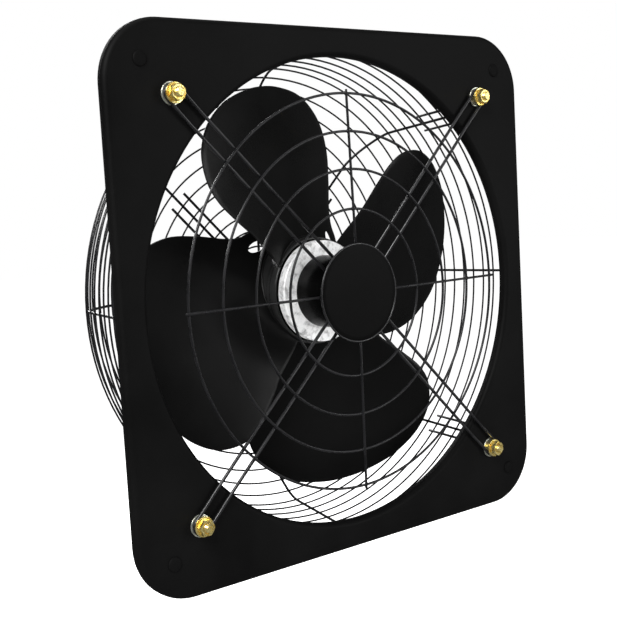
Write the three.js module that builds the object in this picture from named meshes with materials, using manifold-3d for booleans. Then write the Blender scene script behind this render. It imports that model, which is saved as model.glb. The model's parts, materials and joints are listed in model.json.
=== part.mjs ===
// Square-panel axial exhaust fan, 400 mm class: a pressed steel panel with a bell-mouth,
// a motor hung on four wire hairpins in front of it, a four-blade rotor behind it, a wire
// finger guard in front and a deep wire basket behind.
//
// Millimetres, +Z up. The fan axis is the Y axis, the panel's front face is the plane y = 0,
// the front faces -Y and the basket runs towards +Y.

import * as THREE from 'three';
import { mergeVertices } from 'three/addons/utils/BufferGeometryUtils.js';
import Module from 'manifold-3d';

const wasm = await Module();
wasm.setup();

// ---------------------------------------------------------------- driving dimensions

const GAP = 0.3; // clearance left between pieces that touch on the real fan
const WIRE_GAP = 0.5; // the same between bent wires, whose faceted sections stand a little proud

// panel
const PANEL_HALF = 240;
const PANEL_CORNER_R = 54;
const PANEL_BEND_R = 5;
const PANEL_DEPTH = 9;
const SHEET = 1.5;
const OPENING_R = 214;
const COLLAR_BEND_R = 5;
const COLLAR_DEPTH = 9.6;
const MOUNT_HOLE_AT = 206;
const MOUNT_HOLE_R = 3.5;
const PLUG_HEAD_R = 6.5;
const PLUG_HEAD_T = 1.6;

// corner bolts
const BOLT_AT = 179;
const BOLT_R = 4;
const BOLT_HOLE_R = 4.5;
const BOLT_RING_R = BOLT_AT * Math.SQRT2;
const NUT_FLATS = 13;
const NUT_HEIGHT = 5.5;
const HEAD_HEIGHT = 5.3;
const PANEL_WASHER_R = 9.8;
const PANEL_WASHER_T = 1.2;
const NUT_WASHER_R = 8.8;
const NUT_WASHER_T = 1.6;
const BOLT_PROUD = 3;

// motor arms (hairpins of thick wire)
const ARM_WIRE = 3;
const ARM_HALF_GAP = 7.5;
const ARM_BEND_R = 226;
const ARM_INNER_END_R = 17;
const ARM_Y_AT_BOLT = -(GAP + PANEL_WASHER_T + WIRE_GAP + ARM_WIRE / 2);
const ARM_Y_OUTER = -2.9;
const ARM_Y_INNER = -6.6;

// front guard
const GUARD_WIRE = 2.4;
const GUARD_RING_R = [76.5, 112.5, 146.5, 180.5];
const GUARD_WELD = 0.7; // how far crossing wires sink into each other
const DISC_R = 45.5;
const DISC_T = 1.2;
const SPOKE_INNER_R = 36;

// rear basket: ring radius and position from the panel to the middle of the back
const BASKET_RING_WIRE = 1.8;
const BASKET_SPOKE_WIRE = 2.6;
const BASKET_SIDE_TOP = { r: 231, y: 19 };
const BASKET_SHOULDER = { r: 215.5, y: 104 };
const BASKET_BACK_EDGE = { r: 179, y: 139 };
const BASKET_CENTRE_R = 26;
const BASKET_SIDE_RINGS = 7;
const BASKET_SLOPE_RINGS = 3;
const BASKET_BACK_RINGS = 8;
const BASKET_FOOT_HALF_GAP = 9.5;
const BASKET_FOOT_START_Y = 58;
const BASKET_STAY_HALF_GAP = 10;
const BASKET_STAY_R = [32, 130];

// motor
const SHAFT_R = 6;
const PLATE_R = 33;
const PLATE_T = 2.5;
const BELL_WALL = 2;
const FRONT_BELL_R = 34;
const REAR_BELL_R = 46;
const STATOR_R = 48;
const STATOR_BORE_R = 22;
const STATOR_FRONT_Y = 38;
const STATOR_REAR_Y = 47;
const SLOT_COUNT = 12;
const BEARING_R = 14;
const BEARING_T = 8;
const REAR_BELL_END_Y = 71;
const WINDING_DEPTH = 9;
const WINDING_OUTER_R = 30.5;
const PLATE_SCREW_COUNT = 4;
const PLATE_SCREW_CIRCLE_R = 24;
const PLATE_SCREW_R = 2;
const PLATE_SCREW_HOLE_R = 2.6;
const PLATE_SCREW_HEAD_R = 4.2;
const PLATE_SCREW_HEAD_T = 2.6;
const PLATE_SCREW_REACH = 4.5;
const GLAND_Y = 22;
const GLAND_DEGREES = -35;
const GLAND_R = 6;
const GLAND_BORE_R = 3.2;
const GLAND_LENGTH = 7;

// rotor
const HUB_R = 51;
const HUB_WALL = 2;
const HUB_FRONT_Y = 47.6;
const HUB_REAR_Y = 84;
const BOSS_R = 13;
const BOSS_REAR_Y = 90;
const HUB_BORE_R = 8.3;
const SET_SCREW_R = 2;
const SHAFT_WASHER_R = 11;
const SHAFT_WASHER_T = 1.5;
const SHAFT_NUT_FLATS = 16;
const SHAFT_NUT_HEIGHT = 8;
const SHAFT_END_Y = 106;
const BLADE_COUNT = 4;
const BLADE_FIRST_ANGLE = 109;
const BLADE_T = 1.6;
const BLADE_MID_Y = 61;
const BLADE_PITCH_ROOT = 21;
const BLADE_PITCH_TIP = 15;
const BLADE_CAMBER = 5;
const BLADE_WIDTH = 190; // where the camber is BLADE_CAMBER deep
const BLADE_ROOT_R = 60;
const BLADE_TIP_R = 200;
const BLADE_SLOT = { along: 27, aside: -57, length: 21, width: 9 };

// ---------------------------------------------------------------- materials

function finish(color, roughness, metalness) {
  return new THREE.MeshStandardMaterial({ color, roughness, metalness });
}

const blackPaint = () => finish(0x0d0d0e, 0.45, 0.1);
const blackWire = () => finish(0x141415, 0.4, 0.3);
const blackGloss = () => finish(0x0a0a0b, 0.28, 0.15);
const bareSteel = () => finish(0xc9ccce, 0.3, 1.0);
const laminatedSteel = () => finish(0xd4d6d8, 0.35, 0.9);
const yellowZinc = () => finish(0xc79a3a, 0.3, 1.0);
const clearZinc = () => finish(0xbfc2b8, 0.35, 1.0);
const copper = () => finish(0x9a4a25, 0.4, 0.8);
const rubber = () => finish(0x101010, 0.8, 0.0);
const plastic = () => finish(0x0c0c0d, 0.55, 0.0);

// ---------------------------------------------------------------- solids

function toSolid(geometry) {
  const bare = geometry.clone();
  bare.deleteAttribute('normal');
  bare.deleteAttribute('uv');
  const merged = mergeVertices(bare, 1e-4);
  const vertProperties = new Float32Array(merged.attributes.position.array);
  const triVerts = new Uint32Array(merged.index.array);
  return new wasm.Manifold(new wasm.Mesh({ numProp: 3, vertProperties, triVerts }));
}

function toGeometry(solid) {
  const mesh = solid.getMesh();
  const geometry = new THREE.BufferGeometry();
  const positions = new Float32Array(mesh.vertProperties);
  geometry.setAttribute('position', new THREE.BufferAttribute(positions, 3));
  geometry.setIndex(new THREE.BufferAttribute(new Uint32Array(mesh.triVerts), 1));
  return geometry;
}

function joined(geometries) {
  let total = toSolid(geometries[0]);
  for (const geometry of geometries.slice(1)) {
    total = total.add(toSolid(geometry));
  }
  return toGeometry(total);
}

function cut(geometry, tools) {
  let rest = toSolid(geometry);
  for (const tool of tools) {
    rest = rest.subtract(toSolid(tool));
  }
  return toGeometry(rest);
}

// A body turned about the Y axis from [radius, y] points. The profile starts and ends on the
// axis, or its last point repeats its first.
function turned(profile, segments = 32) {
  const points = profile.map(([r, y]) => new THREE.Vector2(r, y));
  const geometry = new THREE.LatheGeometry(points, segments);
  return signedVolume(geometry) < 0 ? flipped(geometry) : geometry;
}

function signedVolume(geometry) {
  const p = geometry.attributes.position;
  const index = geometry.index;
  const a = new THREE.Vector3();
  const b = new THREE.Vector3();
  const c = new THREE.Vector3();
  let volume = 0;
  for (let i = 0; i < index.count; i += 3) {
    a.fromBufferAttribute(p, index.getX(i));
    b.fromBufferAttribute(p, index.getX(i + 1));
    c.fromBufferAttribute(p, index.getX(i + 2));
    volume += a.dot(b.cross(c)) / 6;
  }
  return volume;
}

function flipped(geometry) {
  const index = geometry.index.array;
  for (let i = 0; i < index.length; i += 3) {
    const second = index[i + 1];
    index[i + 1] = index[i + 2];
    index[i + 2] = second;
  }
  return geometry;
}

// A ring of rectangular section, from inner to outer radius and from y0 to y1.
function flatRing(inner, outer, y0, y1, segments = 24) {
  return turned([[inner, y0], [outer, y0], [outer, y1], [inner, y1], [inner, y0]], segments);
}

function rod(radius, y0, y1, segments = 24) {
  return turned([[0, y0], [radius, y0], [radius, y1], [0, y1]], segments);
}

// Corners of a regular polygon with the same area as the round wire's section.
function wireSection(wire, sides) {
  const reach = wire / 2 * Math.sqrt(2 * Math.PI / (sides * Math.sin(2 * Math.PI / sides)));
  const corners = [];
  for (let i = 0; i < sides; i += 1) {
    const a = (i + 0.5) / sides * 2 * Math.PI;
    corners.push([reach * Math.cos(a), reach * Math.sin(a)]);
  }
  return corners;
}

// A wire ring about the Y axis.
function wireRing(radius, y, wire, segments, sides) {
  const profile = wireSection(wire, sides).map(([a, b]) => [radius + a, y + b]);
  return turned([...profile, profile[0]], segments);
}

// A bent wire's centre line, with a section placed at each of its points.
class BentWire extends THREE.Curve {
  constructor(points) {
    super();
    this.points = points;
  }

  getPoint(t, target = new THREE.Vector3()) {
    const last = this.points.length - 1;
    const at = THREE.MathUtils.clamp(t, 0, 1) * last;
    const i = Math.min(Math.floor(at), last - 1);
    return target.lerpVectors(this.points[i], this.points[i + 1], at - i);
  }

  getUtoTmapping(u) {
    return u;
  }
}

function bentWire(points, wire, sides) {
  const corners = wireSection(wire, sides).map(([x, y]) => new THREE.Vector2(x, y));
  const section = new THREE.Shape(corners);
  const options = { extrudePath: new BentWire(points), steps: points.length - 1 };
  return new THREE.ExtrudeGeometry(section, options);
}

// Rounds each inner corner of a line of points with a short quadratic bend.
function softened(corners, reach, steps) {
  const points = [corners[0]];
  for (let i = 1; i < corners.length - 1; i += 1) {
    const before = corners[i].clone().sub(corners[i - 1]);
    const after = corners[i + 1].clone().sub(corners[i]);
    const cutBack = Math.min(reach, before.length() / 2.1, after.length() / 2.1);
    const start = corners[i].clone().addScaledVector(before.normalize(), -cutBack);
    const end = corners[i].clone().addScaledVector(after.normalize(), cutBack);
    const bend = new THREE.QuadraticBezierCurve3(start, corners[i], end);
    points.push(...bend.getPoints(steps));
  }
  points.push(corners[corners.length - 1]);
  return points;
}

// A point given by distance along a radius, sideways offset from it, and y.
function onRadius(angle, along, aside, y) {
  const c = Math.cos(angle);
  const s = Math.sin(angle);
  return new THREE.Vector3(along * c - aside * s, y, along * s + aside * c);
}

const radians = THREE.MathUtils.degToRad;
const fan = new THREE.Group();

function add(name, geometry, material) {
  const mesh = new THREE.Mesh(geometry, material);
  mesh.name = name;
  fan.add(mesh);
  return mesh;
}

const CORNERS = [
  ['top_right', 45], ['top_left', 135], ['bottom_left', 225], ['bottom_right', 315],
];

// ---------------------------------------------------------------- panel

// Rounded square in the XZ plane, as a closed loop of points at height y.
function roundedSquare(inset, y, arcSteps) {
  const centre = PANEL_HALF - PANEL_CORNER_R;
  const r = PANEL_CORNER_R - inset;
  const loop = [];
  for (let quarter = 0; quarter < 4; quarter += 1) {
    const start = quarter * Math.PI / 2;
    const cx = centre * (quarter === 0 || quarter === 3 ? 1 : -1);
    const cz = centre * (quarter < 2 ? 1 : -1);
    for (let i = 0; i <= arcSteps; i += 1) {
      const a = start + i / arcSteps * Math.PI / 2;
      loop.push(new THREE.Vector3(cx + r * Math.cos(a), y, cz + r * Math.sin(a)));
    }
  }
  return loop;
}

// Skins a stack of loops with equal point counts and closes both ends with fans.
function skinned(loops) {
  const count = loops[0].length;
  const positions = loops.flat().flatMap((p) => [p.x, p.y, p.z]);
  const index = [];
  for (let k = 0; k < loops.length - 1; k += 1) {
    for (let i = 0; i < count; i += 1) {
      const a = k * count + i;
      const b = k * count + (i + 1) % count;
      index.push(a, b, b + count, a, b + count, a + count);
    }
  }
  const lastLoop = (loops.length - 1) * count;
  for (let i = 1; i < count - 1; i += 1) {
    index.push(0, i + 1, i);
    index.push(lastLoop, lastLoop + i, lastLoop + i + 1);
  }
  const geometry = new THREE.BufferGeometry();
  geometry.setAttribute('position', new THREE.Float32BufferAttribute(positions, 3));
  geometry.setIndex(index);
  return signedVolume(geometry) < 0 ? flipped(geometry) : geometry;
}

function bendPoints(radius, steps) {
  const points = [];
  for (let i = 0; i <= steps; i += 1) {
    const a = i / steps * Math.PI / 2;
    points.push([radius * (1 - Math.sin(a)), radius * (1 - Math.cos(a))]);
  }
  return points;
}

function panel() {
  const steps = 5;
  const loops = [];
  for (const [inset, y] of bendPoints(PANEL_BEND_R, 2)) {
    loops.push(roundedSquare(inset, y, steps));
  }
  loops.push(roundedSquare(0, PANEL_DEPTH, steps));
  loops.push(roundedSquare(SHEET, PANEL_DEPTH, steps));
  for (const [inset, y] of bendPoints(PANEL_BEND_R - SHEET, 1).reverse()) {
    loops.push(roundedSquare(inset + SHEET, y + SHEET, steps));
  }
  const opening = rod(OPENING_R + COLLAR_BEND_R - 0.5, -1, PANEL_DEPTH, 48);
  const holes = [];
  for (const sx of [-1, 1]) {
    for (const sz of [-1, 1]) {
      const mountHole = rod(MOUNT_HOLE_R, -1, 3, 10);
      holes.push(mountHole.translate(sx * MOUNT_HOLE_AT, 0, sz * MOUNT_HOLE_AT));
      holes.push(rod(BOLT_HOLE_R, -1, 3, 10).translate(sx * BOLT_AT, 0, sz * BOLT_AT));
    }
  }
  const plate = cut(skinned(loops), [opening, ...holes]);
  return joined([plate, collar()]);
}

// The bell-mouth: the sheet rolls back round the opening.
function collar() {
  const outside = bendPoints(COLLAR_BEND_R, 2).map(([r, y]) => [OPENING_R + r, y]);
  const inside = bendPoints(COLLAR_BEND_R - SHEET, 1).reverse();
  const back = inside.map(([r, y]) => [OPENING_R + SHEET + r, SHEET + y]);
  const rim = [[OPENING_R, COLLAR_DEPTH], [OPENING_R + SHEET, COLLAR_DEPTH]];
  const profile = [...outside, ...rim, ...back, outside[0]];
  return turned(profile, 48);
}

// Push-in plug that closes an unused mounting hole.
function holePlug() {
  const head = -GAP - PLUG_HEAD_T;
  const stem = MOUNT_HOLE_R - GAP;
  return turned([
    [0, head], [PLUG_HEAD_R - 2.5, head], [PLUG_HEAD_R - 0.6, head + 0.7], [PLUG_HEAD_R, -GAP],
    [stem, -GAP], [stem, SHEET + 1], [stem - 0.8, SHEET + 3], [0, SHEET + 3],
  ], 16);
}

add('frame_panel', panel(), blackPaint());
for (const [corner, degrees] of CORNERS) {
  const at = onRadius(radians(degrees), MOUNT_HOLE_AT * Math.SQRT2, 0, 0);
  add(`hole_plug_${corner}`, holePlug(), plastic()).position.set(at.x, 0, at.z);
}

// ---------------------------------------------------------------- front guard and its disc

function armY(along) {
  const t = (along - ARM_INNER_END_R) / (ARM_BEND_R - ARM_INNER_END_R);
  return THREE.MathUtils.lerp(ARM_Y_INNER, ARM_Y_OUTER, THREE.MathUtils.clamp(t, 0, 1));
}

function ringY(radius) {
  return armY(radius) - ARM_WIRE / 2 - WIRE_GAP - GUARD_WIRE / 2;
}

function spokeY(radius) {
  return ringY(radius) - GUARD_WIRE + GUARD_WELD;
}

function frontGuard() {
  const wires = GUARD_RING_R.map((r) => wireRing(r, ringY(r), GUARD_WIRE, 32, 4));
  const outer = GUARD_RING_R[GUARD_RING_R.length - 1] + GUARD_WIRE;
  for (let i = 0; i < 4; i += 1) {
    const angle = i * Math.PI / 2;
    const line = [SPOKE_INNER_R, outer].map((r) => onRadius(angle, r, 0, spokeY(r)));
    wires.push(bentWire(line, GUARD_WIRE, 4));
  }
  return joined(wires);
}

const discRearY = spokeY(SPOKE_INNER_R) - GUARD_WIRE / 2 - WIRE_GAP;

function centreDisc() {
  const front = discRearY - DISC_T;
  const edge = 0.5;
  return turned([
    [0, front], [DISC_R - 3, front], [DISC_R - edge, front + edge],
    [DISC_R, discRearY - edge], [DISC_R - edge, discRearY], [0, discRearY],
  ], 32);
}

add('front_guard', frontGuard(), blackWire());
add('guard_centre_disc', centreDisc(), blackPaint());

// ---------------------------------------------------------------- motor arms

// Half of a hairpin from its free end to the start of its loop, on one side of the radius.
function hairpinLeg(angle, side, stations) {
  return stations.map(([along, y]) => onRadius(angle, along, side, y));
}

function loopRound(angle, halfGap, y, steps) {
  const loop = [];
  for (let i = 1; i < steps; i += 1) {
    const a = Math.PI / 2 - i / steps * Math.PI;
    const along = BOLT_RING_R + halfGap * Math.cos(a);
    loop.push(onRadius(angle, along, halfGap * Math.sin(a), y));
  }
  return loop;
}

function hairpin(angle, halfGap, stations, loopY) {
  const there = hairpinLeg(angle, halfGap, stations);
  const back = hairpinLeg(angle, -halfGap, stations).reverse();
  return [...there, ...loopRound(angle, halfGap, loopY, 6), ...back];
}

function motorArm(angle) {
  const stations = [
    [ARM_INNER_END_R, ARM_Y_INNER],
    [ARM_BEND_R, ARM_Y_OUTER],
    [ARM_BEND_R + 8, ARM_Y_AT_BOLT],
    [BOLT_RING_R, ARM_Y_AT_BOLT],
  ];
  return bentWire(hairpin(angle, ARM_HALF_GAP, stations, ARM_Y_AT_BOLT), ARM_WIRE, 5);
}

for (const [corner, degrees] of CORNERS) {
  add(`motor_arm_${corner}`, motorArm(radians(degrees)), blackWire());
}

// ---------------------------------------------------------------- corner fasteners

function hexPrism(flats, y0, y1) {
  return turned([[0, y0], [flats / Math.sqrt(3), y0], [flats / Math.sqrt(3), y1], [0, y1]], 6);
}

const nutWasherRearY = ARM_Y_AT_BOLT - ARM_WIRE / 2 - WIRE_GAP;
const nutRearY = nutWasherRearY - NUT_WASHER_T - GAP;
const footY = SHEET + 2 * WIRE_GAP + BASKET_SPOKE_WIRE / 2;
const rearWasherY = footY + BASKET_SPOKE_WIRE / 2 + 2 * WIRE_GAP;
const headY = rearWasherY + PANEL_WASHER_T + GAP;

function cornerBolt() {
  const tip = nutRearY - NUT_HEIGHT - BOLT_PROUD;
  const shank = turned([
    [0, tip], [BOLT_R - 0.8, tip], [BOLT_R, tip + 0.8], [BOLT_R, headY + 1], [0, headY + 1],
  ], 10);
  return joined([shank, hexPrism(NUT_FLATS, headY, headY + HEAD_HEIGHT)]);
}

function cornerNut() {
  const bore = rod(BOLT_R + GAP, nutRearY - NUT_HEIGHT - 1, nutRearY + 1, 10);
  return cut(hexPrism(NUT_FLATS, nutRearY - NUT_HEIGHT, nutRearY), [bore]);
}

function washer(radius, y0, thickness) {
  return flatRing(BOLT_R + 0.5, radius, y0, y0 + thickness, 10);
}

function cornerStack(corner, degrees) {
  const angle = radians(degrees);
  const at = onRadius(angle, BOLT_RING_R, 0, 0);
  const pieces = [
    ['bolt', cornerBolt(), yellowZinc()],
    ['nut', cornerNut(), yellowZinc()],
    ['nut_washer', washer(NUT_WASHER_R, nutRearY + GAP, NUT_WASHER_T), yellowZinc()],
    ['panel_washer', washer(PANEL_WASHER_R, -GAP - PANEL_WASHER_T, PANEL_WASHER_T), clearZinc()],
    ['rear_washer', washer(NUT_WASHER_R, rearWasherY, PANEL_WASHER_T), clearZinc()],
  ];
  for (const [kind, geometry, material] of pieces) {
    add(`${kind}_${corner}`, geometry, material).position.set(at.x, 0, at.z);
  }
}

for (const [corner, degrees] of CORNERS) {
  cornerStack(corner, degrees);
}

// ---------------------------------------------------------------- rear basket

function spread(from, to, count) {
  const stations = [];
  for (let i = 0; i < count; i += 1) {
    const t = i / count;
    const r = THREE.MathUtils.lerp(from.r, to.r, t);
    stations.push({ r, y: THREE.MathUtils.lerp(from.y, to.y, t) });
  }
  return stations;
}

const BASKET_BACK_CENTRE = { r: BASKET_CENTRE_R, y: BASKET_BACK_EDGE.y + 2 };

function basketRings() {
  return [
    ...spread(BASKET_SIDE_TOP, BASKET_SHOULDER, BASKET_SIDE_RINGS),
    ...spread(BASKET_SHOULDER, BASKET_BACK_EDGE, BASKET_SLOPE_RINGS),
    ...spread(BASKET_BACK_EDGE, BASKET_BACK_CENTRE, BASKET_BACK_RINGS),
    BASKET_BACK_CENTRE,
  ];
}

// How far inside a ring's centre line the wires welded to it run.
const wireSunk = (BASKET_RING_WIRE + BASKET_SPOKE_WIRE) / 2 - GUARD_WELD;

// Spokes lie on the inside of the rings, from the middle of the back to the front ring.
function basketSpoke(angle) {
  const corners = [
    onRadius(angle, BASKET_CENTRE_R - 4, 0, BASKET_BACK_CENTRE.y - wireSunk),
    onRadius(angle, BASKET_BACK_EDGE.r - wireSunk * 0.3, 0, BASKET_BACK_EDGE.y - wireSunk * 0.7),
    onRadius(angle, BASKET_SHOULDER.r - wireSunk, 0, BASKET_SHOULDER.y - wireSunk * 0.5),
    onRadius(angle, BASKET_SIDE_TOP.r - wireSunk, 0, BASKET_SIDE_TOP.y - 3),
  ];
  return bentWire(softened(corners, 2, 1), BASKET_SPOKE_WIRE, 4);
}

// Feet lie on the inside of the first rings, turn out along the panel's back and loop
// round the corner bolts.
function basketFoot(angle) {
  const t = (BASKET_FOOT_START_Y - BASKET_SIDE_TOP.y) / (BASKET_SHOULDER.y - BASKET_SIDE_TOP.y);
  const startR = THREE.MathUtils.lerp(BASKET_SIDE_TOP.r, BASKET_SHOULDER.r, t);
  const turnR = BASKET_SIDE_TOP.r - wireSunk;
  const stations = [
    [startR - wireSunk, BASKET_FOOT_START_Y],
    [turnR, BASKET_SIDE_TOP.y],
    [turnR + 1, footY + 5],
    [turnR + 4, footY + 1],
    [turnR + 8, footY],
    [BOLT_RING_R, footY],
  ];
  const line = hairpin(angle, BASKET_FOOT_HALF_GAP, stations, footY);
  return bentWire(line, BASKET_SPOKE_WIRE, 4);
}

// Stays run beside the corner spokes, on the inside of the back's inner rings.
function basketStay(angle, aside) {
  const slope = (BASKET_BACK_EDGE.y - BASKET_BACK_CENTRE.y) / (BASKET_BACK_EDGE.r - BASKET_CENTRE_R);
  const line = BASKET_STAY_R.map((along) => {
    const y = BASKET_BACK_CENTRE.y + slope * (along - BASKET_CENTRE_R) - wireSunk;
    return onRadius(angle, along, aside, y);
  });
  return bentWire(line, BASKET_SPOKE_WIRE, 4);
}

function rearBasket() {
  const wires = basketRings().map(({ r, y }) => {
    const segments = r > 150 ? 24 : 16;
    return wireRing(r, y, BASKET_RING_WIRE, segments, 3);
  });
  for (let i = 0; i < 8; i += 1) {
    wires.push(basketSpoke(i * Math.PI / 4));
  }
  for (const [, degrees] of CORNERS) {
    const angle = radians(degrees);
    wires.push(basketFoot(angle));
    wires.push(basketStay(angle, BASKET_STAY_HALF_GAP));
    wires.push(basketStay(angle, -BASKET_STAY_HALF_GAP));
  }
  return joined(wires);
}

add('rear_basket', rearBasket(), blackWire());

// ---------------------------------------------------------------- motor, fixed pieces

const plateFrontY = ARM_Y_INNER + ARM_WIRE / 2 + WIRE_GAP;
const plateRearY = plateFrontY + PLATE_T;
const bellFrontY = plateRearY + GAP;
const bellRearY = STATOR_FRONT_Y - GAP;
const frontBearingY = bellFrontY + BELL_WALL + GAP;
const rearBearingY = REAR_BELL_END_Y - BELL_WALL - GAP - BEARING_T;
const glandAngle = radians(GLAND_DEGREES);

function plateScrewSpots() {
  const spots = [];
  for (let i = 0; i < PLATE_SCREW_COUNT; i += 1) {
    spots.push(onRadius(i / PLATE_SCREW_COUNT * 2 * Math.PI, PLATE_SCREW_CIRCLE_R, 0, 0));
  }
  return spots;
}

function motorPlate() {
  const holes = plateScrewSpots().map((p) => {
    return rod(PLATE_SCREW_HOLE_R, plateFrontY - 1, plateRearY + 1, 8).translate(p.x, 0, p.z);
  });
  return cut(rod(PLATE_R, plateFrontY, plateRearY, 28), holes);
}

// Domed front end bell: closed at the front, with a bearing seat, open at the stator.
function frontBell() {
  const r = FRONT_BELL_R;
  const y = bellFrontY;
  const seat = BEARING_R + GAP;
  const seatEnd = frontBearingY + BEARING_T;
  const shell = turned([
    [0, y], [r - 9, y], [r - 4.5, y + 1.8], [r - 1.6, y + 5], [r - 0.6, y + 9],
    [r, bellRearY - 4], [r, bellRearY], [r - BELL_WALL, bellRearY],
    [r - BELL_WALL - 1, y + 10], [r - 7, y + BELL_WALL + 2], [seat + 2, y + BELL_WALL + 1],
    [seat + 2, seatEnd], [seat, seatEnd], [seat, y + BELL_WALL], [0, y + BELL_WALL],
  ], 24);
  const holes = plateScrewSpots().map((p) => {
    return rod(PLATE_SCREW_HOLE_R, y - 1, y + 5, 8).translate(p.x, 0, p.z);
  });
  return cut(shell, [...holes, glandHole()]);
}

function alongRadius(geometry, angle, y) {
  return geometry.rotateZ(-Math.PI / 2).rotateY(-angle).translate(0, y, 0);
}

function glandHole() {
  const hole = rod(GLAND_R - 1.5, FRONT_BELL_R - 8, FRONT_BELL_R + 4, 16);
  return alongRadius(hole, glandAngle, GLAND_Y);
}

function cableGland() {
  const inner = FRONT_BELL_R + GAP + 0.4;
  const outer = inner + GLAND_LENGTH;
  const ring = turned([
    [GLAND_BORE_R, inner], [GLAND_R, inner], [GLAND_R, inner + 2], [GLAND_R - 1.2, outer],
    [GLAND_BORE_R, outer], [GLAND_BORE_R, inner],
  ], 16);
  return alongRadius(ring, glandAngle, GLAND_Y);
}

function rearBell() {
  const r = REAR_BELL_R;
  const y = STATOR_REAR_Y + GAP;
  const end = REAR_BELL_END_Y;
  const seat = BEARING_R + GAP;
  return turned([
    [r - BELL_WALL, y], [r, y], [r, end - 9], [r - 2, end - 4], [r - 6, end - 1],
    [r - 10, end], [SHAFT_R + 1.5, end], [SHAFT_R + 1.5, end - BELL_WALL],
    [seat, end - BELL_WALL], [seat, rearBearingY], [seat + 2, rearBearingY],
    [seat + 2, end - BELL_WALL - 1], [r - 9, end - BELL_WALL - 1], [r - 4, end - 8],
    [r - BELL_WALL, end - 12], [r - BELL_WALL, y],
  ], 24);
}

// Laminated ring with open slots for the windings.
function statorCore() {
  const shape = new THREE.Shape();
  shape.absarc(0, 0, STATOR_R, 0, 2 * Math.PI, false);
  const bore = new THREE.Path();
  const pitch = 2 * Math.PI / SLOT_COUNT;
  const slotR = 31;
  for (let i = 0; i < SLOT_COUNT; i += 1) {
    const corners = [
      [STATOR_BORE_R, -0.44], [STATOR_BORE_R, -0.1], [STATOR_BORE_R + 2, -0.1],
      [STATOR_BORE_R + 3, -0.3], [slotR, -0.28], [slotR, 0.28],
      [STATOR_BORE_R + 3, 0.3], [STATOR_BORE_R + 2, 0.1], [STATOR_BORE_R, 0.1],
    ];
    corners.forEach(([r, share], k) => {
      const a = (i + share) * pitch;
      const stroke = i === 0 && k === 0 ? 'moveTo' : 'lineTo';
      bore[stroke](r * Math.cos(a), r * Math.sin(a));
    });
  }
  bore.closePath();
  shape.holes.push(bore);
  const depth = STATOR_REAR_Y - STATOR_FRONT_Y;
  const options = { depth, bevelEnabled: false, curveSegments: 32 };
  const core = new THREE.ExtrudeGeometry(shape, options);
  return core.rotateX(Math.PI / 2).translate(0, STATOR_REAR_Y, 0);
}

function winding(y0, y1) {
  const inner = STATOR_BORE_R + 1.5;
  const outer = WINDING_OUTER_R;
  const c = 1.6;
  return turned([
    [inner, y0 + c], [inner + c, y0], [outer - c, y0], [outer, y0 + c],
    [outer, y1 - c], [outer - c, y1], [inner + c, y1], [inner, y1 - c], [inner, y0 + c],
  ], 18);
}

function bearing(y) {
  const inner = SHAFT_R + GAP;
  const groove = 0.6;
  return turned([
    [inner, y], [inner + 2, y], [inner + 2.4, y + groove], [BEARING_R - 2.4, y + groove],
    [BEARING_R - 2, y], [BEARING_R, y], [BEARING_R, y + BEARING_T],
    [inner, y + BEARING_T], [inner, y],
  ], 18);
}

function plateScrew() {
  const seat = plateFrontY - GAP;
  const head = rod(PLATE_SCREW_HEAD_R, seat - PLATE_SCREW_HEAD_T, seat, 12);
  return joined([head, rod(PLATE_SCREW_R, seat - 0.2, bellFrontY + PLATE_SCREW_REACH, 8)]);
}

add('motor_plate', motorPlate(), blackPaint());
add('motor_front_bell', frontBell(), blackGloss());
add('motor_rear_bell', rearBell(), blackGloss());
add('stator_core', statorCore(), laminatedSteel());
const windingFrontY = STATOR_FRONT_Y - GAP - WINDING_DEPTH;
const windingRearY = STATOR_REAR_Y + GAP;
add('winding_front', winding(windingFrontY, windingFrontY + WINDING_DEPTH), copper());
add('winding_rear', winding(windingRearY, windingRearY + WINDING_DEPTH), copper());
add('bearing_front', bearing(frontBearingY), bareSteel());
add('bearing_rear', bearing(rearBearingY), bareSteel());
add('cable_gland', cableGland(), rubber());
plateScrewSpots().forEach((p, i) => {
  add(`plate_screw_${i + 1}`, plateScrew(), clearZinc()).position.set(p.x, 0, p.z);
});

// ---------------------------------------------------------------- rotor

const hubSeatY = HUB_REAR_Y - HUB_WALL;
const shaftWasherY = BOSS_REAR_Y + GAP;
const nutFrontY = shaftWasherY + SHAFT_WASHER_T + GAP;
const setScrewY = HUB_REAR_Y + GAP + 3;

function shaft() {
  const start = frontBearingY + 0.5;
  return turned([
    [0, start], [SHAFT_R - 0.6, start], [SHAFT_R, start + 0.6],
    [SHAFT_R, SHAFT_END_Y - 0.8], [SHAFT_R - 0.8, SHAFT_END_Y], [0, SHAFT_END_Y],
  ], 16);
}

function rotorCore() {
  const outer = STATOR_BORE_R - 0.5;
  const inner = SHAFT_R + GAP;
  const ring = outer - 2;
  const y0 = STATOR_FRONT_Y;
  const y1 = STATOR_REAR_Y;
  return turned([
    [inner, y0 - 4], [ring, y0 - 4], [ring, y0], [outer, y0], [outer, y1], [ring, y1],
    [ring, y1 + 4], [inner, y1 + 4], [inner, y0 - 4],
  ], 20);
}

// Pressed cup that closes over the rear of the motor.
function hub() {
  const r = HUB_R;
  const y = HUB_REAR_Y;
  const bore = HUB_BORE_R;
  return turned([
    [r - HUB_WALL, HUB_FRONT_Y], [r, HUB_FRONT_Y], [r, y - 6], [r - 1.8, y - 1.8],
    [r - 6, y], [bore, y], [bore, y - HUB_WALL], [r - 7, y - HUB_WALL],
    [r - HUB_WALL, y - 8], [r - HUB_WALL, HUB_FRONT_Y],
  ], 36);
}

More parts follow.
